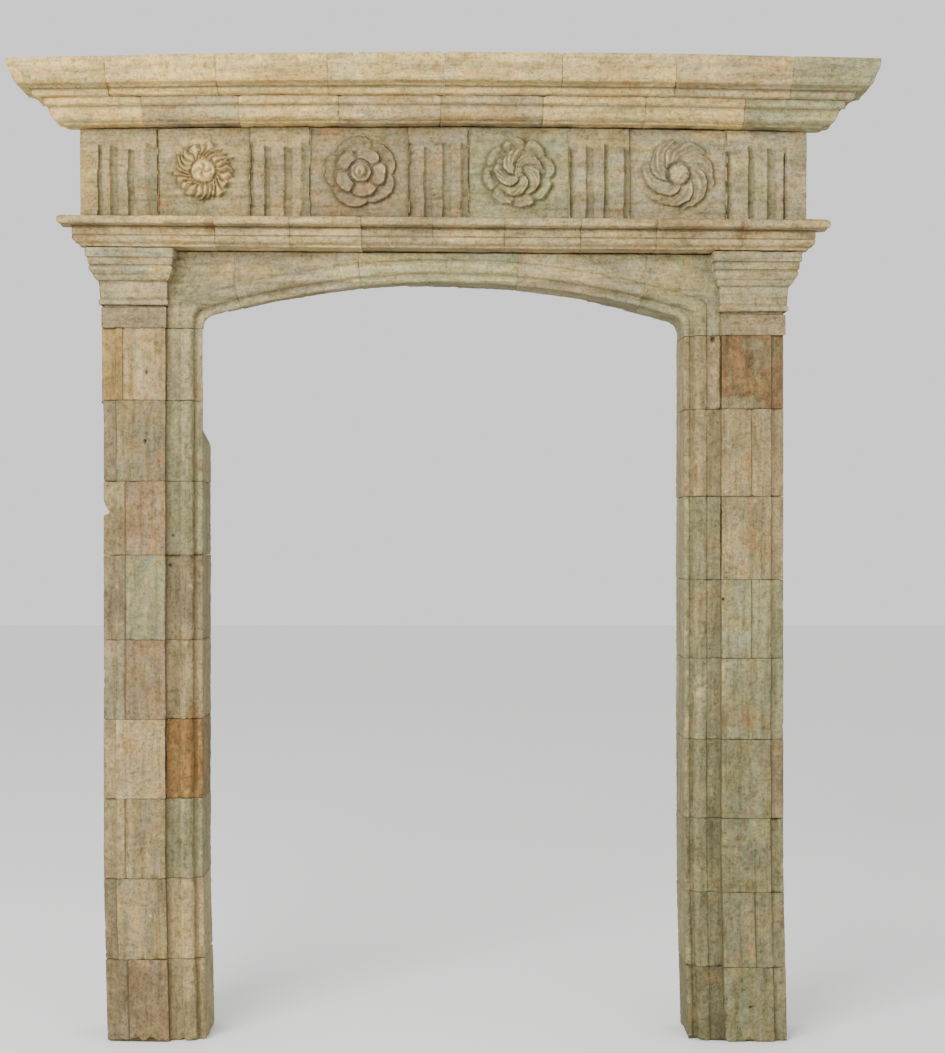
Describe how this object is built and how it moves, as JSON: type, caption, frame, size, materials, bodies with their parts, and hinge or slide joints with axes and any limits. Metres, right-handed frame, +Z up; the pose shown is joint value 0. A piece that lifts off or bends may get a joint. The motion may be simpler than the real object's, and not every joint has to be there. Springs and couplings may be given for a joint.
{
  "type": "door surround",
  "caption": "Carved stone door surround with pilastered jambs, low arch, triglyph and rosette frieze and deep cornice, laid in cut blocks.",
  "frame": {"origin": "on the floor under the middle of the whole surround", "axes": "+Z up, -Y towards the viewer in front, +X to the viewer's right, flat back towards +Y"},
  "size_m": [2.694, 0.482, 3.1072],
  "materials": {
    "jamb_stone": "weathered brown-grey sandstone, dressed and pitted",
    "architrave_stone": "weathered sandstone, moulded and worn",
    "arch_stone": "weathered grey-green sandstone, moulded and worn",
    "string_stone": "weathered buff sandstone, moulded",
    "frieze_stone": "weathered grey-green sandstone, carved in relief",
    "cornice_stone": "weathered buff sandstone, moulded"
  },
  "bodies": {
    "root": {"arch_stone_1": "arch_stone", "arch_stone_2": "arch_stone", "arch_stone_3": "arch_stone", "arch_stone_4": "arch_stone", "arch_stone_5": "arch_stone", "frieze_stone_1": "frieze_stone", "frieze_stone_2": "frieze_stone", "frieze_stone_3": "frieze_stone", "frieze_stone_4": "frieze_stone", "frieze_stone_5": "frieze_stone", "frieze_stone_6": "frieze_stone", "left_architrave_stone_4": "architrave_stone", "left_architrave_stone_9": "architrave_stone", "left_capital": "arch_stone", "left_jamb_stone_1": "jamb_stone", "left_jamb_stone_2": "jamb_stone", "left_jamb_stone_3": "jamb_stone", "left_jamb_stone_4": "jamb_stone", "left_jamb_stone_5": "jamb_stone", "left_jamb_stone_6": "jamb_stone", "left_jamb_stone_7": "jamb_stone", "left_jamb_stone_8": "jamb_stone", "left_jamb_stone_9": "jamb_stone", "lower_cornice_stone_1": "cornice_stone", "lower_cornice_stone_2": "cornice_stone", "lower_cornice_stone_3": "cornice_stone", "lower_cornice_stone_4": "cornice_stone", "lower_cornice_stone_5": "cornice_stone", "lower_cornice_stone_6": "cornice_stone", "lower_cornice_stone_7": "cornice_stone", "lower_cornice_stone_8": "cornice_stone", "right_architrave_stone_7": "architrave_stone", "right_architrave_stone_9": "architrave_stone", "right_capital": "arch_stone", "right_jamb_stone_1": "jamb_stone", "right_jamb_stone_2": "jamb_stone", "right_jamb_stone_3": "jamb_stone", "right_jamb_stone_4": "jamb_stone", "right_jamb_stone_5": "jamb_stone", "right_jamb_stone_6": "jamb_stone", "right_jamb_stone_7": "jamb_stone", "right_jamb_stone_8": "jamb_stone", "right_jamb_stone_9": "jamb_stone", "string_stone_1": "string_stone", "string_stone_2": "string_stone", "string_stone_3": "string_stone", "string_stone_4": "string_stone", "string_stone_5": "string_stone", "string_stone_6": "string_stone", "string_stone_7": "string_stone", "string_stone_8": "string_stone", "string_stone_9": "string_stone", "upper_cornice_stone_1": "cornice_stone", "upper_cornice_stone_2": "cornice_stone", "upper_cornice_stone_3": "cornice_stone", "upper_cornice_stone_4": "cornice_stone", "upper_cornice_stone_5": "cornice_stone", "upper_cornice_stone_6": "cornice_stone", "upper_cornice_stone_7": "cornice_stone", "upper_cornice_stone_8": "cornice_stone"}
  },
  "joints": []
}
